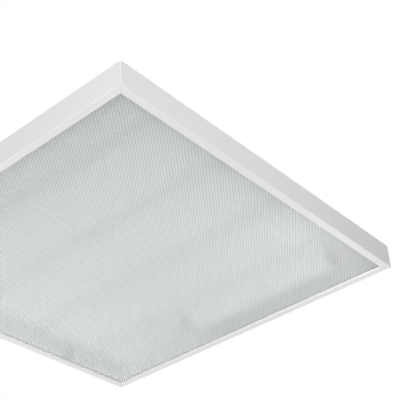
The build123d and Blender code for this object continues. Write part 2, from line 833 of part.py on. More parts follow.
# ------------------------------------------------------------------ clips and nuts on the back
def make_swivel_clips():
    rivets = []
    for number, (x, y, _, sy) in enumerate(swivel_places(), start=1):
        z0, z1 = panel_height, panel_height + swivel_thickness
        tip = y + sy * swivel_reach
        low, high = min(y, tip), max(y, tip)
        clip = block(x - swivel_width / 2, x + swivel_width / 2, low, high, z0, z1)
        clip += post(x, y, swivel_width / 2, z0, z1)
        tab_y = sorted((tip, tip - sy * swivel_thickness))
        clip += block(x - swivel_width / 2, x + swivel_width / 2, tab_y[0], tab_y[1], z0,
                      z0 + swivel_tab)
        clip -= post(x, y, swivel_rivet_radius + swivel_hole_clearance, z0 - 1, z1 + 1)
        save(f"hold_down_clip_{number}", clip)
        head_low = z1 + swivel_running_gap
        rivets.append(
            post(x, y, swivel_rivet_radius + tail_height, back_low - tail_height, back_low)
            + post(x, y, swivel_rivet_radius, back_low, head_low)
            + dome(x, y, swivel_rivet_head_radius, head_low, swivel_rivet_head_height)
        )
    save("clip_rivets", *rivets)


def make_suspension_nuts():
    nuts = []
    for x, y in nut_places():
        nut = post(x, y, nut_body, panel_height - nut_length, panel_height)
        nut += post(x, y, nut_body + nut_bulge, back_low - nut_bulge_height, back_low)
        nut += post(x, y, nut_flange_radius, panel_height, panel_height + nut_flange_height)
        nut -= post(x, y, nut_bore, panel_height - nut_length - 1, panel_height + 2)
        nuts.append(nut)
    save("suspension_nuts", *nuts)


os.makedirs("parts", exist_ok=True)
folded = closed_shell()
make_tray(folded)
make_end_rail(folded)
make_diffuser()
make_boards()
make_board_leads()
make_driver()
make_mains_wiring()
make_terminal_box()
make_terminal_block()
make_swivel_clips()
make_suspension_nuts()
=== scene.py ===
import json
import math

import bmesh
import bpy
from mathutils import Matrix, Vector


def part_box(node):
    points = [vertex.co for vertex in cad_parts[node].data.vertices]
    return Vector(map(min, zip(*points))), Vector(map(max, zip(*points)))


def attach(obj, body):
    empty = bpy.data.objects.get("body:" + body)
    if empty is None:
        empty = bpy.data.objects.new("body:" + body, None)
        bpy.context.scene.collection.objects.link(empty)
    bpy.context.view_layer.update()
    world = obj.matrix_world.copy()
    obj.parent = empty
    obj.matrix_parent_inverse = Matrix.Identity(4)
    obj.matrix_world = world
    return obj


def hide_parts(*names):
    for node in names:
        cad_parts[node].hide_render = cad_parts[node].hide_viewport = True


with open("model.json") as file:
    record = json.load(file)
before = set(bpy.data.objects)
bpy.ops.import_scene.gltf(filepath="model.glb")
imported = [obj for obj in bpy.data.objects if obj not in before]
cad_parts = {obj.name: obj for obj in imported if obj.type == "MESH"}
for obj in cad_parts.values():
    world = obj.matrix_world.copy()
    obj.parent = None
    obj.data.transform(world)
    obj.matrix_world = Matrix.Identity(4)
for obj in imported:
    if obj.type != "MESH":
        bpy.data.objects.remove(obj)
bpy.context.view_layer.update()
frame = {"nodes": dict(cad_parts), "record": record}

nodes = frame["nodes"]
scene = bpy.context.scene

MM = 0.001  # lengths are in metres
WELD = 0.001 * MM

# ------------------------------------------------------------------ camera
# Solved from the edges that the photo shows.
CAMERA_PLACE = (-0.9349, -0.9320, -0.8099)
CAMERA_FORWARD = (0.6306, 0.5178, 0.5782)
CAMERA_RIGHT = (0.6602, -0.7495, -0.0489)


def add_camera():
    """Below the near corner, looking up across the light opening."""
    forward = Vector(CAMERA_FORWARD).normalized()
    right = Vector(CAMERA_RIGHT)
    right = (right - forward * right.dot(forward)).normalized()
    up = right.cross(forward)
    turn = Matrix((right, up, -forward)).transposed().to_4x4()
    camera = bpy.data.objects.new("camera", bpy.data.cameras.new("camera"))
    camera.data.sensor_width = 36.0
    camera.data.lens = 90.78
    camera.data.clip_start = 0.01
    camera.data.clip_end = 50.0
    camera.matrix_world = Matrix.Translation(CAMERA_PLACE) @ turn
    scene.collection.objects.link(camera)
    scene.camera = camera


# ------------------------------------------------------------------ light and surroundings
LAMPS = {
    # name: (place, aimed at, width, watts)
    "left_near": ((-1.9, -1.0, -0.5), (-0.2, -0.2, 0), 1.0, 29.5),
    "right": ((-0.1, -1.0, -0.15), (-0.08, -0.3, 0.02), 0.3, 1.9),
    "below_far": ((0.2, 0.7, -1.4), (0, 0, 0), 1.2, 15.4),
    "below_corner": ((0.20, -0.30, -0.28), (0.20, -0.28, 0), 0.12, 0.15),
    "overhead": ((0.4, 0.2, 2.2), (0, 0, 0), 2.6, 34.0),
    "behind": ((2.0, 1.8, 0.45), (0, 0, 0.02), 1.4, 11.0),
}
AMBIENT = 0.245
AMBIENT_TINT = (0.94, 0.98, 1.0)
WHITE = (1.0, 1.0, 1.0)


def add_lamp(name, place, target, width, watts):
    """A round lamp that the camera doesn't see."""
    lamp = bpy.data.lights.new(name, "AREA")
    lamp.shape = "DISK"
    lamp.size = width
    lamp.energy = watts
    lamp_object = bpy.data.objects.new(name, lamp)
    lamp_object.location = place
    lamp_object.visible_camera = False
    aim = Vector(target) - Vector(place)
    lamp_object.rotation_euler = aim.to_track_quat("-Z", "Y").to_euler()
    scene.collection.objects.link(lamp_object)


def feed(tree, socket, value):
    """Links another node's output to a socket, or sets a number or a colour on it."""
    if isinstance(value, bpy.types.NodeSocket):
        tree.links.new(value, socket)
    elif isinstance(value, tuple):
        socket.default_value = (*value, 1.0)
    elif value is not None:
        socket.default_value = value


def math_node(tree, operation, first, second=None):
    """One step of arithmetic on a texture value."""
    node = tree.nodes.new("ShaderNodeMath")
    node.operation = operation
    for socket, value in zip(node.inputs, (first, second)):
        feed(tree, socket, value)
    return node.outputs[0]


def seen_directly(tree):
    """One for what the camera, reflections and clear plastic see, nought for light."""
    path = tree.nodes.new("ShaderNodeLightPath")
    shown = math_node(tree, "MAXIMUM", path.outputs["Is Camera Ray"],
                      path.outputs["Is Glossy Ray"])
    return math_node(tree, "MAXIMUM", shown, path.outputs["Is Transmission Ray"])


def mix_shaders(tree, factor, first, second, surface):
    """The first shader where the factor is nought, the second where it is one."""
    mix = tree.nodes.new("ShaderNodeMixShader")
    for socket, value in zip(mix.inputs, (factor, first, second)):
        tree.links.new(value, socket)
    tree.links.new(mix.outputs[0], surface)


def add_world():
    """Even pale light, seen as plain white by the camera and in reflections."""
    world = bpy.data.worlds.new("studio")
    scene.world = world
    world.use_nodes = True
    tree = world.node_tree
    tree.nodes.clear()
    lights = []
    for strength, colour in ((AMBIENT, AMBIENT_TINT), (1.0, WHITE)):
        light = tree.nodes.new("ShaderNodeBackground")
        feed(tree, light.inputs["Color"], colour)
        light.inputs["Strength"].default_value = strength
        lights.append(light.outputs[0])
    out = tree.nodes.new("ShaderNodeOutputWorld")
    mix_shaders(tree, seen_directly(tree), *lights, out.inputs["Surface"])


# ------------------------------------------------------------------ material steps
WORN_RADIUS = 0.25 * MM
WORN_GAIN = 6.0  # how fast a turning surface comes to count as fully worn


def new_material(name):
    """A material, its node tree, its shader and the place on the object."""
    material = bpy.data.materials.new(name)
    material.use_nodes = True
    tree = material.node_tree
    shader = tree.nodes["Principled BSDF"]
    coordinates = tree.nodes.new("ShaderNodeTexCoord")
    return material, tree, shader, coordinates.outputs["Object"]


def stretched(tree, place, scale):
    mapping = tree.nodes.new("ShaderNodeMapping")
    mapping.inputs["Scale"].default_value = scale
    tree.links.new(place, mapping.inputs["Vector"])
    return mapping.outputs[0]


def noise(tree, place, scale, detail=3.0, roughness=0.5, stretch=None):
    """A noise texture of so many bumps a metre."""
    if stretch:
        place = stretched(tree, place, stretch)
    node = tree.nodes.new("ShaderNodeTexNoise")
    node.inputs["Scale"].default_value = scale
    node.inputs["Detail"].default_value = detail
    node.inputs["Roughness"].default_value = roughness
    tree.links.new(place, node.inputs["Vector"])
    return node.outputs["Fac"]


def ramp(tree, value, low, high, at_low=0.3, at_high=0.7):
    """A colour ramp between two colours, or a number ramp between two numbers."""
    node = tree.nodes.new("ShaderNodeValToRGB")
    for stop, at, colour in zip(node.color_ramp.elements, (at_low, at_high), (low, high)):
        stop.position = at
        stop.color = (*colour, 1.0) if isinstance(colour, tuple) else (colour,) * 3 + (1.0,)
    tree.links.new(value, node.inputs["Fac"])
    return node.outputs["Color"]


def uneven_gloss(tree, shader, place, scale, low, high, detail=2.0):
    """Roughness that drifts between two values."""
    tree.links.new(ramp(tree, noise(tree, place, scale, detail), low, high),
                   shader.inputs["Roughness"])


def blend(tree, factor, first, second):
    """The first colour where the factor is nought, the second where it is one."""
    node = tree.nodes.new("ShaderNodeMix")
    node.data_type = "RGBA"
    # Among this node's sockets, the two colours are inputs 6 and 7, and the blend is output 2.
    for index, value in ((0, factor), (6, first), (7, second)):
        feed(tree, node.inputs[index], value)
    return node.outputs[2]


def bump(tree, shader, height, strength, distance):
    node = tree.nodes.new("ShaderNodeBump")
    node.inputs["Strength"].default_value = strength
    node.inputs["Distance"].default_value = distance
    tree.links.new(height, node.inputs["Height"])
    tree.links.new(node.outputs["Normal"], shader.inputs["Normal"])


def worn_edges(tree):
    """One on edges and corners sharper than the worn radius, nought on flat faces."""
    rounded = tree.nodes.new("ShaderNodeBevel")
    rounded.samples = 4
    rounded.inputs["Radius"].default_value = WORN_RADIUS
    surface = tree.nodes.new("ShaderNodeNewGeometry")
    compare = tree.nodes.new("ShaderNodeVectorMath")
    compare.operation = "DOT_PRODUCT"
    tree.links.new(rounded.outputs["Normal"], compare.inputs[0])
    tree.links.new(surface.outputs["Normal"], compare.inputs[1])
    apart = math_node(tree, "SUBTRACT", 1.0, compare.outputs["Value"])
    return math_node(tree, "MINIMUM", math_node(tree, "MULTIPLY", apart, WORN_GAIN), 1.0)


def apart_xyz(tree, vector):
    node = tree.nodes.new("ShaderNodeSeparateXYZ")
    tree.links.new(vector, node.inputs[0])
    return node.outputs


def scaled(colour, factor):
    """The colour made darker or lighter, up to full brightness."""
    return tuple(min(1.0, channel * factor) for channel in colour)


# ------------------------------------------------------------------ materials
def plain(name, colour, rough, metal=0.0, vary=0.06, drift=60.0, grain=900.0, strength=0.15,
          distance=0.05 * MM, stretch=None, worn=None):
    """A finished surface: slight colour drift, uneven gloss, a fine grain and worn edges."""
    material, tree, shader, place = new_material(name)
    tone = ramp(tree, noise(tree, place, drift, 4.0), scaled(colour, 1.0 - vary),
                scaled(colour, 1.0 + vary))
    if worn:
        tone = blend(tree, worn_edges(tree), tone, worn)
    tree.links.new(tone, shader.inputs["Base Color"])
    uneven_gloss(tree, shader, place, 4.0 * drift, max(0.02, rough - 0.05),
                 min(1.0, rough + 0.06), detail=3.0)
    shader.inputs["Metallic"].default_value = metal
    bump(tree, shader, noise(tree, place, grain, 2.0, stretch=stretch), strength, distance)
    return material


LIP_TOP = 3.6 * MM  # just above the upturned return of the rim
SEAM_HALF_WIDTH = 0.2 * MM
SEAM_SHARE = 0.30  # how much of the seam's colour shows
SEAM_TONE = 0.35  # that colour's brightness as a share of the paint's


def mitre_seams(tree, place):
    """One along the lips' mitres on -Y, where the tray is one folded piece, nought elsewhere."""
    x, y, z = apart_xyz(tree, place)
    off_mitre = math_node(tree, "SUBTRACT", math_node(tree, "ABSOLUTE", x),
                          math_node(tree, "ABSOLUTE", y))
    seam = math_node(tree, "LESS_THAN", math_node(tree, "ABSOLUTE", off_mitre), SEAM_HALF_WIDTH)
    seam = math_node(tree, "MULTIPLY", seam, math_node(tree, "LESS_THAN", z, LIP_TOP))
    return math_node(tree, "MULTIPLY", seam, math_node(tree, "LESS_THAN", y, 0.0))


def powder_coat(name, colour):
    """Satin powder coat with orange peel about 2 mm across and a fine seam at the mitres."""
    material, tree, shader, place = new_material(name)
    tone = ramp(tree, noise(tree, place, 5.0, 3.0), scaled(colour, 0.985), colour)
    seam = mitre_seams(tree, place)
    tree.links.new(blend(tree, math_node(tree, "MULTIPLY", seam, SEAM_SHARE), tone,
                         scaled(colour, SEAM_TONE)), shader.inputs["Base Color"])
    uneven_gloss(tree, shader, place, 30.0, 0.42, 0.50)
    shader.inputs["Specular IOR Level"].default_value = 0.45
    peel = noise(tree, place, 450.0, 2.0, roughness=0.4)
    bump(tree, shader, math_node(tree, "SUBTRACT", peel, seam), 0.24, 0.12 * MM)
    return material


def zinc_plate():
    """Galvanised steel: crystals a few millimetres across, brushed, with bright edges."""
    material, tree, shader, place = new_material("zinc_steel")
    cells = tree.nodes.new("ShaderNodeTexVoronoi")
    cells.inputs["Scale"].default_value = 300.0
    tree.links.new(place, cells.inputs["Vector"])
    grey = tree.nodes.new("ShaderNodeRGBToBW")
    tree.links.new(cells.outputs["Color"], grey.inputs[0])
    crystals = ramp(tree, grey.outputs[0], (0.53, 0.54, 0.56), (0.59, 0.60, 0.61),
                    at_low=0.2, at_high=0.8)
    dull = ramp(tree, noise(tree, place, 90.0, 4.0), 0.0, 0.35, at_low=0.45, at_high=0.75)
    tone = blend(tree, dull, crystals, (0.46, 0.47, 0.49))
    tone = blend(tree, worn_edges(tree), tone, (0.70, 0.70, 0.71))
    tree.links.new(tone, shader.inputs["Base Color"])
    tree.links.new(ramp(tree, grey.outputs[0], 0.36, 0.42), shader.inputs["Roughness"])
    shader.inputs["Metallic"].default_value = 1.0
    brushing = noise(tree, place, 1500.0, 2.0, stretch=(1.0, 0.12, 1.0))
    bump(tree, shader, brushing, 0.12, 0.03 * MM)
    return material


STRIPE_PITCH = 80 * MM  # along the lead, for one turn of the stripe
STRIPE_EDGE = 0.1  # leaves the second colour just under half of the lead


def striped_insulation(name, first, second):
    """Two-coloured insulation whose stripe turns slowly round the lead."""
    material, tree, shader, place = new_material(name)
    facing = next(node for node in tree.nodes if node.type == "TEX_COORD").outputs["Normal"]
    normal_x, _, normal_z = apart_xyz(tree, facing)
    turns = math_node(tree, "MULTIPLY", apart_xyz(tree, place)[1], 2 * math.pi / STRIPE_PITCH)
    angle = math_node(tree, "ADD", math_node(tree, "ARCTAN2", normal_z, normal_x), turns)
    stripe = math_node(tree, "GREATER_THAN", math_node(tree, "SINE", angle), STRIPE_EDGE)
    tone = blend(tree, stripe, first, second)
    shade = ramp(tree, noise(tree, place, 200.0, 3.0), 0.0, 0.12)
    tree.links.new(blend(tree, shade, tone, (0.02, 0.05, 0.01)), shader.inputs["Base Color"])
    uneven_gloss(tree, shader, place, 300.0, 0.30, 0.40)
    bump(tree, shader, noise(tree, place, 2500.0, 2.0), 0.10, 0.02 * MM)
    return material


THREAD_PITCH = 0.9 * MM
WEAVE_SHARE = 0.06  # the most that the threads' lighter colour shows


def glass_fibre_board(name, colour):
    """Lacquered circuit board with the weave of its glass cloth showing faintly."""
    material, tree, shader, place = new_material(name)
    x, y, _ = apart_xyz(tree, place)
    threads = 2 * math.pi / THREAD_PITCH
    weave = math_node(tree, "MULTIPLY",
                      math_node(tree, "SINE", math_node(tree, "MULTIPLY", x, threads)),
                      math_node(tree, "SINE", math_node(tree, "MULTIPLY", y, threads)))
    tone = ramp(tree, noise(tree, place, 50.0, 4.0), scaled(colour, 0.85), colour)
    tree.links.new(blend(tree, math_node(tree, "MULTIPLY", weave, WEAVE_SHARE), tone,
                         scaled(colour, 1.3)), shader.inputs["Base Color"])
    uneven_gloss(tree, shader, place, 150.0, 0.30, 0.40)
    bump(tree, shader, weave, 0.10, 0.02 * MM)
    return material


PRISM_X = 6.85 * MM
PRISM_Y = 5.14 * MM
PRISM_DEPTH = 1.0 * MM
SHEET_IOR = 1.59
# Painted shade: the grooves between the prisms are coloured darker than the prisms themselves
PAINTED_GROOVE_SHADE = (0.425, 0.446, 0.440)
PRISM_COLOUR = (0.703, 0.729, 0.720)


def prismatic_plastic():
    """Clear moulded plastic, which scatters through its prisms, with shade painted into the
    grooves.
    """
    material, tree, shader, place = new_material("prismatic_sheet")
    x, y, _ = apart_xyz(tree, place)
    along_x = math_node(tree, "DIVIDE", x, PRISM_X)
    along_y = math_node(tree, "DIVIDE", y, PRISM_Y)
    one_way = math_node(tree, "PINGPONG", math_node(tree, "ADD", along_x, along_y), 0.5)
    other_way = math_node(tree, "PINGPONG", math_node(tree, "SUBTRACT", along_x, along_y), 0.5)
    from_groove = math_node(tree, "MINIMUM", one_way, other_way)
    # The base colour darkens towards the grooves: painted shade standing in for the prisms'
    # shading
    tree.links.new(ramp(tree, from_groove, PAINTED_GROOVE_SHADE, PRISM_COLOUR, at_low=0.02,
                        at_high=0.25), shader.inputs["Base Color"])
    uneven_gloss(tree, shader, place, 25.0, 0.34, 0.37)
    shader.inputs["IOR"].default_value = SHEET_IOR
    shader.inputs["Transmission Weight"].default_value = 0.30
    shader.inputs["Alpha"].default_value = 0.86
    return material


def clear_plastic():
    """The sheet's flat upper face, which shows only a faint gloss."""
    material, tree, shader, place = new_material("prismatic_sheet_back")
    tree.links.new(ramp(tree, noise(tree, place, 25.0, 2.0), (0.86, 0.90, 0.88),
                        (0.90, 0.93, 0.92)), shader.inputs["Base Color"])
    uneven_gloss(tree, shader, place, 60.0, 0.10, 0.16)
    shader.inputs["IOR"].default_value = SHEET_IOR
    shader.inputs["Alpha"].default_value = 0.08
    return material


def insulation(name, colour):
    """Extruded lead insulation, glossy, with faint draw marks."""
    return plain(name, colour, 0.34, vary=0.10, drift=200.0, grain=2500.0, strength=0.12,
                 distance=0.02 * MM)


def moulding(name, colour, rough=0.50, worn=None):
    """Spark-textured moulded plastic."""
    return plain(name, colour, rough, vary=0.03, drift=40.0, grain=2200.0, strength=0.30,
                 distance=0.03 * MM, worn=worn)


SHEET = prismatic_plastic()
SHEET_BACK = clear_plastic()
SOLDER = plain("solder", (0.68, 0.68, 0.70), 0.30, metal=1.0, vary=0.08, drift=400.0,
               grain=3000.0, strength=0.20, distance=0.02 * MM)
PHOSPHOR = plain("phosphor", (0.80, 0.67, 0.24), 0.32, vary=0.05, drift=500.0, grain=4000.0,
                 strength=0.10, distance=0.01 * MM)
TRACKS = plain("masked_tracks", (0.55, 0.56, 0.54), 0.36, vary=0.03, drift=80.0,
               grain=1800.0, strength=0.08, distance=0.02 * MM)
SLOT_MATERIALS = {
    "white_powder_coat": powder_coat("white_powder_coat", (0.80, 0.80, 0.795)),
    "prismatic_sheet": SHEET,
    "zinc_steel": zinc_plate(),
    "aluminium_rivets": plain("aluminium_rivets", (0.50, 0.50, 0.51), 0.50, metal=1.0,
                              drift=250.0, grain=2500.0, worn=(0.58, 0.58, 0.58)),
    "white_board": glass_fibre_board("white_board", (0.64, 0.65, 0.64)),
    "led_body": moulding("led_body", (0.80, 0.79, 0.74), 0.42),
    "white_nylon": moulding("white_nylon", (0.74, 0.74, 0.72), 0.50, (0.80, 0.80, 0.79)),
    "red_insulation": insulation("red_insulation", (0.52, 0.03, 0.03)),
    "black_insulation": insulation("black_insulation", (0.025, 0.025, 0.027)),
    "brown_insulation": insulation("brown_insulation", (0.16, 0.07, 0.03)),
    "blue_insulation": insulation("blue_insulation", (0.03, 0.12, 0.45)),
    "green_yellow_insulation": striped_insulation("green_yellow_insulation",
                                                  (0.06, 0.34, 0.06), (0.80, 0.62, 0.04)),
    "driver_case": plain("driver_case", (0.81, 0.82, 0.82), 0.42, vary=0.02, drift=14.0,
                         grain=500.0, strength=0.12, worn=(0.60, 0.61, 0.62)),
    "green_board": glass_fibre_board("green_board", (0.03, 0.20, 0.08)),
    "yellow_tape": plain("yellow_tape", (0.70, 0.48, 0.05), 0.30, vary=0.06, drift=120.0,
                         grain=700.0, strength=0.20, stretch=(1.0, 0.1, 1.0)),
    "ferrite": plain("ferrite", (0.08, 0.08, 0.085), 0.55, vary=0.20, drift=300.0,
                     grain=3000.0, strength=0.25, worn=(0.14, 0.14, 0.145)),
    "capacitor_sleeve": plain("capacitor_sleeve", (0.04, 0.04, 0.07), 0.28, vary=0.08,
                              drift=150.0, grain=1200.0, strength=0.08),
    "grey_rubber": plain("grey_rubber", (0.42, 0.42, 0.41), 0.70, vary=0.12, drift=200.0,
                         grain=1800.0, strength=0.30, worn=(0.50, 0.50, 0.49)),
    "tinned_brass": plain("tinned_brass", (0.62, 0.61, 0.56), 0.35, metal=1.0, drift=200.0,
                          grain=2000.0, worn=(0.74, 0.68, 0.50)),
    "orange_button": moulding("orange_button", (0.75, 0.22, 0.03), 0.36, (0.82, 0.34, 0.10)),
}


def dress_cad_nodes():
    """Gives each node from the CAD the material of its slot."""
    for part in frame["record"]["subparts"]:
        mesh = nodes[part["node"]].data
        mesh.materials.clear()
        mesh.materials.append(SLOT_MATERIALS[part["material_slot"]])


# ------------------------------------------------------------------ shaping
def rectangle(x0, x1, y0, y1, z):
    return [(x0, y0, z), (x1, y0, z), (x1, y1, z), (x0, y1, z)]


def circle(x, y, z, radius, count):
    return [(x + radius * math.cos(2 * math.pi * k / count),
             y + radius * math.sin(2 * math.pi * k / count), z) for k in range(count)]


class Shape:
    """Gathers the corners and faces of one piece."""

    def __init__(self):
        self.vertices, self.faces = [], []

    def skin(self, rings, gaps):
        """Adds rings of equally many corners, and closes so many of the gaps between them.

        With as many gaps as rings, the last ring is joined to the first.
        """
        first, count = len(self.vertices), len(rings[0])
        for ring in rings:
            self.vertices += ring
        for level in range(gaps):
            start, end = first + level * count, first + (level + 1) % len(rings) * count
            for k in range(count):
                n = (k + 1) % count
                self.faces.append((start + k, start + n, end + n, end + k))
        return first, count

    def loft(self, rings):
        """Skins a stack of rings and closes its two ends."""
        first, count = self.skin(rings, len(rings) - 1)
        last = first + (len(rings) - 1) * count
        self.faces.append(tuple(first + k for k in reversed(range(count))))
        self.faces.append(tuple(last + k for k in range(count)))

    def bar(self, low, high, chamfer):
        """A box whose side away from the board is chamfered; it grows towards -Z."""
        self.loft([rectangle(low[0] + inset, high[0] - inset, low[1] + inset, high[1] - inset, z)
                   for inset, z in ((0.0, high[2]), (0.0, low[2] + chamfer), (chamfer, low[2]))])

    def dome(self, x, y, z, profile, count):
        """A round dome that grows towards -Z; its profile is in millimetres."""
        self.loft([circle(x, y, z - height * MM, radius * MM, count)
                   for radius, height in profile])

    def piece(self, name, material, body, slot, smooth=False):
        """Makes the piece, with its equal corners joined and its faces turned outwards."""
        mesh = bpy.data.meshes.new(name)
        mesh.from_pydata(self.vertices, [], self.faces)
        work = bmesh.new()
        work.from_mesh(mesh)
        bmesh.ops.remove_doubles(work, verts=work.verts, dist=WELD)
        bmesh.ops.recalc_face_normals(work, faces=work.faces)
        work.to_mesh(mesh)
        work.free()
        mesh.materials.append(material)
        made = bpy.data.objects.new(name, mesh)
        scene.collection.objects.link(made)
        for polygon in mesh.polygons:
            polygon.use_smooth = smooth
        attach(made, body)


def solid_boxes(name):
    """The boxes of a node's separate solids, in order along Y."""
    work = bmesh.new()
    work.from_mesh(nodes[name].data)
    bmesh.ops.remove_doubles(work, verts=work.verts, dist=WELD)
    seen, boxes = set(), []
    for start in work.verts:
        if start in seen:
            continue
        seen.add(start)
        group = [start]
        for vertex in group:
            for edge in vertex.link_edges:
                other = edge.other_vert(vertex)
                if other not in seen:
                    seen.add(other)
                    group.append(other)
        low = Vector([min(v.co[k] for v in group) for k in range(3)])
        high = Vector([max(v.co[k] for v in group) for k in range(3)])
        boxes.append((low, high))
    work.free()
    return sorted(boxes, key=lambda box: box[0].y)


# ------------------------------------------------------------------ details of the LED boards
# Profiles are in millimetres: a distance outwards, then a height away from the board.
PHOSPHOR_DOME = ((1.08, -0.16), (1.08, -0.10), (0.95, -0.03), (0.70, 0.01), (0.35, 0.03))
SOLDER_DOME = ((0.85, -0.02), (0.85, 0.05), (0.62, 0.25), (0.35, 0.55), (0.22, 0.70))
SOLDER_FILLET = ((-0.05, 0.0), (-0.05, 0.46), (0.08, 0.44), (0.22, 0.22), (0.42, 0.08),
                 (0.68, 0.03), (0.68, 0.0))
# The fillet's rings across a chip's end: the place in millimetres, then the share of its size.
FILLET_RINGS = ((-1.05, 0.7), (-0.92, 1.0), (0.92, 1.0), (1.05, 0.7))
SOLDER_ROOT = 0.02 * MM  # how deep a fillet starts in the board
PIN_PLACES = (-3.75 * MM, -1.25 * MM, 1.25 * MM, 3.75 * MM)
PIN_ROW = 1.1 * MM  # from the connector's end to its row of pins

TRACK_HEIGHT = 0.06 * MM
TRACK_ROOT = 0.01 * MM
TRACK_CHAMFER = 0.03 * MM
# Each track lies between two distances from the board's middle line.
LAND = (-2.1 * MM, 2.1 * MM)
DETOUR = (3.3 * MM, 5.0 * MM)
ARM = (1.2 * MM, 3.4 * MM)
RAILS = ((-6.7 * MM, -5.6 * MM), (5.8 * MM, 6.7 * MM))
END_LINK = (-6.65 * MM, 2.1 * MM)
LAND_GAP = 0.9 * MM  # from a chip's end to the land beside it
DETOUR_REACH = 1.0 * MM  # how far a detour runs past the land that it replaces
ARM_BACK, ARM_AHEAD = 0.95 * MM, 1.2 * MM  # how far an arm runs out of that land and into it
RAIL_START = 2.6 * MM  # from the connector's end
RAIL_END = 5.0 * MM  # from the board's end
LINK_WIDTH = 1.6 * MM
LINK_STEP = 0.05 * MM  # from the rails' ends to the link's side


def on_board(box, middle):
    """Whether a solid's box lies on the middle line of a board."""
    return abs((box[0].x + box[1].x) / 2 - middle) < MM


def add_phosphor(number, middle, leds):
    """The phosphor window of each chip."""
    shape = Shape()
    for low, high in leds:
        shape.dome(middle, (low.y + high.y) / 2, low.z, PHOSPHOR_DOME, 18)
    shape.piece(f"led_phosphor_{number}", PHOSPHOR, "tray", "led_body", smooth=True)


def add_solder(number, middle, face, leds, connector):
    """A fillet at both ends of each chip and a dome on each pin of the connector."""
    shape = Shape()
    for low, high in leds:
        for side, edge in ((-1, low.y), (1, high.y)):
            shape.loft([[(middle + across * MM, edge + side * out * MM * share,
                          face + SOLDER_ROOT - height * MM * share)
                         for out, height in SOLDER_FILLET] for across, share in FILLET_RINGS])
    for offset in PIN_PLACES:
        shape.dome(middle + offset, connector[1].y + PIN_ROW, face, SOLDER_DOME, 14)
    shape.piece(f"led_solder_{number}", SOLDER, "tray", "tinned_brass", smooth=True)


def add_tracks(number, middle, face, leds, rivets, ends):
    """Copper under the mask: lands between chips, detours round rivets, rails and a link."""
    shape = Shape()

    def track(across, y0, y1):
        shape.bar((middle + across[0], y0, face - TRACK_HEIGHT),
                  (middle + across[1], y1, face + TRACK_ROOT), TRACK_CHAMFER)

    for (_, before), (after, _) in zip(leds, leds[1:]):
        start, end = before.y + LAND_GAP, after.y - LAND_GAP
        if any(start < y < end for y in rivets):
            track(DETOUR, start - DETOUR_REACH, end + DETOUR_REACH)
            track(ARM, start - ARM_BACK, start + ARM_AHEAD)
            track(ARM, end - ARM_AHEAD, end + ARM_BACK)
        else:
            track(LAND, start, end)
    for rail in RAILS:
        track(rail, *ends)
    track(END_LINK, ends[1] - LINK_WIDTH, ends[1] - LINK_STEP)
    shape.piece(f"led_tracks_{number}", TRACKS, "tray", "white_board")


def add_board_details(number):
    """Phosphor windows, solder and lacquered tracks of one LED board."""
    board_low, board_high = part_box(f"led_board_{number}")
    middle = (board_low.x + board_high.x) / 2
    face = board_low.z
    leds = solid_boxes(f"led_packages_{number}")
    connector = next(box for box in solid_boxes("led_connectors") if on_board(box, middle))
    rivets = [(box[0].y + box[1].y) / 2 for box in solid_boxes("board_rivets")
              if on_board(box, middle)]
    ends = (connector[1].y + RAIL_START, board_high.y - RAIL_END)
    add_phosphor(number, middle, leds)
    add_solder(number, middle, face, leds, connector)
    add_tracks(number, middle, face, leds, rivets, ends)


# ------------------------------------------------------------------ details of the lid
LID_SUNK = 0.05 * MM  # how deep the border starts in the lid
HINGE_STRIP = 4.5 * MM  # the part of the box's top that the hinge takes
BORDER_EDGE = 4.0 * MM  # from the box's sides to the border
BORDER_WIDTH = 1.2 * MM
BORDER_RISE = 0.4 * MM
BORDER_CORNER = 3.0 * MM
CORNER_STEPS = 6
RIB_COUNT = 3
RIB_START = 0.9 * MM  # from the box's side to the first rib
RIB_PITCH = 1.0 * MM
RIB_HALF_LENGTH = 6 * MM
TAB_STEP = 0.4 * MM  # from the lid's top down to its tab's
# A rib's half width and its height over the tab, in millimetres.
RIB_PROFILE = ((0.25, -0.05), (0.22, 0.2), (0.10, 0.3))


def rounded_rectangle(x0, x1, y0, y1, z, corner, inset):
    """A ring with round corners, drawn in by the inset on all sides."""
    ring = []
    for x, y, start in ((x1 - corner, y1 - corner, 0), (x0 + corner, y1 - corner, 90),
                        (x0 + corner, y0 + corner, 180), (x1 - corner, y0 + corner, 270)):
        for step in range(CORNER_STEPS + 1):
            turn = math.radians(start + 90 * step / CORNER_STEPS)
            ring.append((x + (corner - inset) * math.cos(turn),
                         y + (corner - inset) * math.sin(turn), z))
    return ring


def add_lid_details():
    """A raised panel border on the terminal box's lid and grip ribs on its tab."""
    low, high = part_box("terminal_box_lid")
    base_low, base_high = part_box("terminal_box_base")
    shape = Shape()
    bevel = BORDER_RISE * 0.4
    profile = ((0.0, -LID_SUNK), (0.0, BORDER_RISE - bevel), (bevel, BORDER_RISE),
               (BORDER_WIDTH - bevel, BORDER_RISE), (BORDER_WIDTH, BORDER_RISE - bevel),
               (BORDER_WIDTH, -LID_SUNK))
    border = [rounded_rectangle(base_low.x + HINGE_STRIP + BORDER_EDGE, base_high.x - BORDER_EDGE,
                                base_low.y + BORDER_EDGE, base_high.y - BORDER_EDGE,
                                high.z + height, BORDER_CORNER, inset)
              for inset, height in profile]
    shape.skin(border, len(border))
    tab_top = high.z - TAB_STEP
    middle = (low.y + high.y) / 2
    for number in range(RIB_COUNT):
        x = base_high.x + RIB_START + number * RIB_PITCH
        shape.loft([rectangle(x - half * MM, x + half * MM,
                              middle - RIB_HALF_LENGTH - half * MM,
                              middle + RIB_HALF_LENGTH + half * MM, tab_top + height * MM)
                    for half, height in RIB_PROFILE])
    shape.piece("lid_mouldings", SLOT_MATERIALS["white_nylon"], "box_lid", "white_nylon")


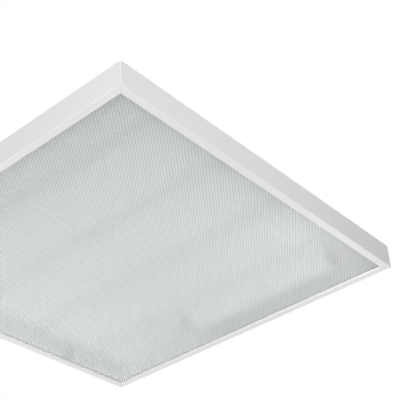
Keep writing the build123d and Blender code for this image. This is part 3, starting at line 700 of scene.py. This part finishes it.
# ------------------------------------------------------------------ prismatic sheet
def prisms(half_x, half_y, tip_z, groove_z):
    """Corners and faces of staggered four-sided pyramids, points down, over the underside."""
    columns = int(2 * half_x / PRISM_X) + 3
    rows = int(2 * half_y / PRISM_Y) + 3
    crossings = {}
    vertices, faces = [], []

    def spot(i, j):
        """A place on the lattice; i and j count half pitches."""
        return (i - columns) * PRISM_X / 2, (j - rows) * PRISM_Y / 2

    def held(x, y):
        """The nearest place on the sheet."""
        return min(max(x, -half_x), half_x), min(max(y, -half_y), half_y)

    def crossing(i, j):
        """The corner where grooves cross; i and j have an even sum."""
        if (i, j) not in crossings:
            crossings[i, j] = len(vertices)
            vertices.append((*held(*spot(i, j)), groove_z))
        return crossings[i, j]

    for i in range(2 * columns):
        for j in range(2 * rows):
            if (i + j) % 2 == 0:
                continue
            x, y = spot(i, j)
            if abs(x) > half_x + PRISM_X / 2 or abs(y) > half_y + PRISM_Y / 2:
                continue
            ring = [crossing(i - 1, j), crossing(i, j - 1), crossing(i + 1, j),
                    crossing(i, j + 1)]
            inside = abs(x) < half_x and abs(y) < half_y
            tip = len(vertices)
            vertices.append((*held(x, y), tip_z if inside else groove_z))
            for k in range(4):
                faces.append((ring[(k + 1) % 4], ring[k], tip))
    return vertices, faces


def add_prismatic_sheet():
    """The diffuser with its real prisms, upright sides and a flat top."""
    low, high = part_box("diffuser")
    vertices, faces = prisms(high.x, high.y, low.z, low.z + PRISM_DEPTH)
    mesh = bpy.data.meshes.new("prismatic_sheet")
    mesh.from_pydata(vertices, [], faces)
    work = bmesh.new()
    work.from_mesh(mesh)
    bmesh.ops.remove_doubles(work, verts=work.verts, dist=10 * WELD)
    bmesh.ops.dissolve_degenerate(work, edges=work.edges, dist=10 * WELD)
    border = [edge for edge in work.edges if edge.is_boundary]
    raised = bmesh.ops.extrude_edge_only(work, edges=border)["geom"]
    for item in raised:
        if isinstance(item, bmesh.types.BMVert):
            item.co.z = high.z
    top_edges = [item for item in raised if isinstance(item, bmesh.types.BMEdge)]
    for face in bmesh.ops.edgeloop_fill(work, edges=top_edges)["faces"]:
        face.material_index = 1
    bmesh.ops.recalc_face_normals(work, faces=work.faces)
    work.to_mesh(mesh)
    work.free()
    mesh.materials.append(SHEET)
    mesh.materials.append(SHEET_BACK)
    piece = bpy.data.objects.new("prismatic_sheet", mesh)
    scene.collection.objects.link(piece)
    piece.visible_shadow = False
    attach(piece, "diffuser_sheet")
    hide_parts("diffuser")


# ------------------------------------------------------------------ floor
FLOOR_DROP = 1.6
FLOOR_REACH = 14.0
FADE_START, FADE_END = 3.0, 12.0  # distances from the light
NEAR_WHITE = 0.66  # how much of the plain white shows near the light


def pale_floor():
    """Painted floor, pale near the light and plain white far off, which keeps its shadow."""
    material, tree, shader, place = new_material("pale_floor")
    tree.links.new(ramp(tree, noise(tree, place, 1.5, 3.0), (0.48, 0.48, 0.48),
                        (0.52, 0.52, 0.52)), shader.inputs["Base Color"])
    shader.inputs["Roughness"].default_value = 0.85
    bump(tree, shader, noise(tree, place, 300.0, 2.0), 0.10, 0.2 * MM)
    white = tree.nodes.new("ShaderNodeEmission")
    feed(tree, white.inputs["Color"], WHITE)
    distance = tree.nodes.new("ShaderNodeVectorMath")
    distance.operation = "LENGTH"
    tree.links.new(place, distance.inputs[0])
    fade = tree.nodes.new("ShaderNodeMapRange")
    for name, value in (("From Min", FADE_START), ("From Max", FADE_END),
                        ("To Min", NEAR_WHITE), ("To Max", 1.0)):
        fade.inputs[name].default_value = value
    tree.links.new(distance.outputs["Value"], fade.inputs["Value"])
    share = math_node(tree, "MULTIPLY", seen_directly(tree), fade.outputs["Result"])
    mix_shaders(tree, share, shader.outputs[0], white.outputs[0],
                tree.nodes["Material Output"].inputs["Surface"])
    return material


def add_floor():
    """A plain pale floor well below the light."""
    mesh = bpy.data.meshes.new("floor")
    mesh.from_pydata(rectangle(-FLOOR_REACH, FLOOR_REACH, -FLOOR_REACH, FLOOR_REACH, -FLOOR_DROP),
                     [], [(0, 1, 2, 3)])
    floor = bpy.data.objects.new("floor", mesh)
    mesh.materials.append(pale_floor())
    scene.collection.objects.link(floor)


add_camera()
add_world()
for lamp_name, settings in LAMPS.items():
    add_lamp(lamp_name, *settings)
scene.view_settings.view_transform = "Standard"
dress_cad_nodes()
for board in (1, 2, 3, 4):
    add_board_details(board)
add_lid_details()
add_prismatic_sheet()
add_floor()
